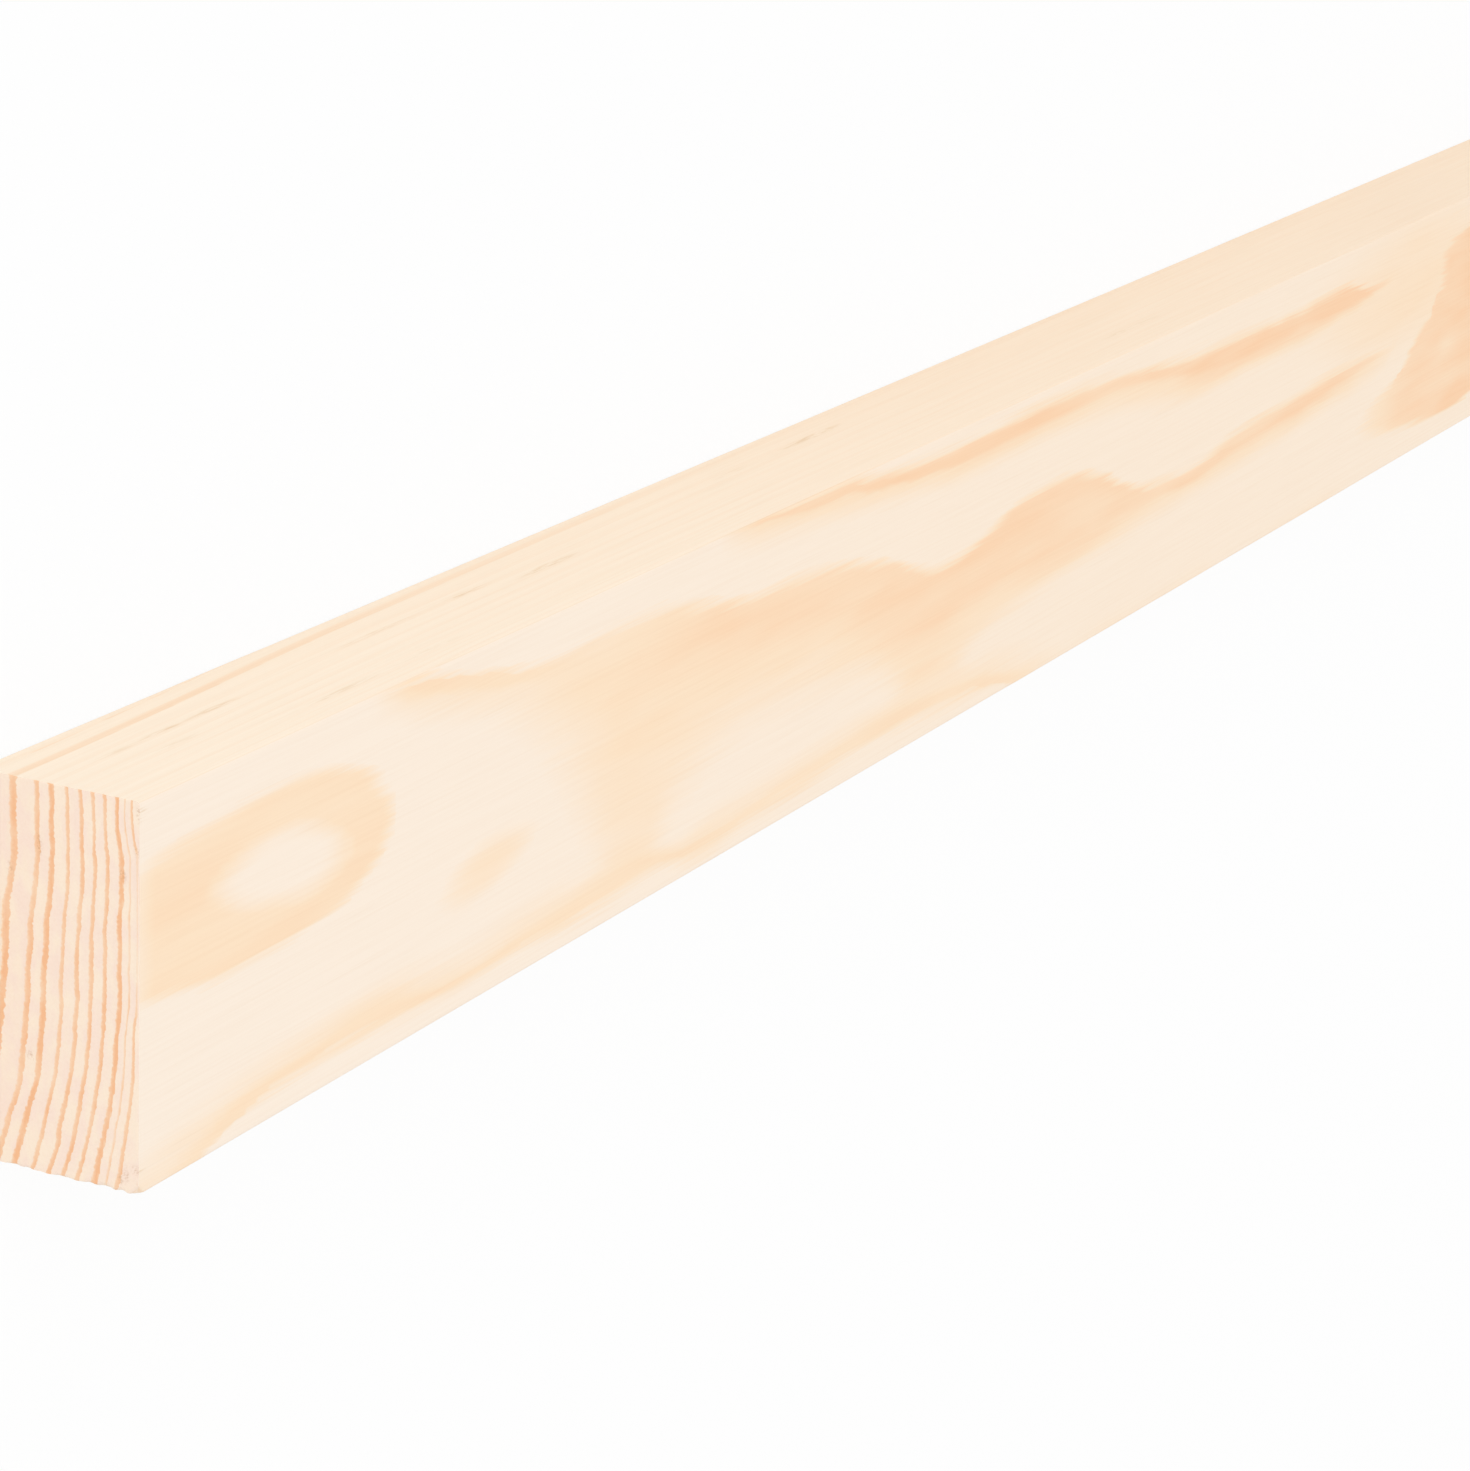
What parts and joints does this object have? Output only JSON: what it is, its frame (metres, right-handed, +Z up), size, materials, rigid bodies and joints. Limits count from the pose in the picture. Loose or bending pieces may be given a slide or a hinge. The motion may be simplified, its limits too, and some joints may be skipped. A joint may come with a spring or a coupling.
{
  "type": "timber plank",
  "caption": "Straight plank of pale planed softwood with a rectangular section, lightly eased long edges and square sawn ends, for framing and joinery.",
  "frame": {"origin": "middle of the wide face that the plank lies on", "axes": "+X along the grain, away from the sawn end that the picture shows; +Y across the width; +Z up, out of the wide face that the picture shows"},
  "size_m": [1.8, 0.094, 0.044],
  "materials": {
    "softwood": "planed, bare"
  },
  "bodies": {
    "root": {"plank": "softwood"}
  },
  "joints": []
}
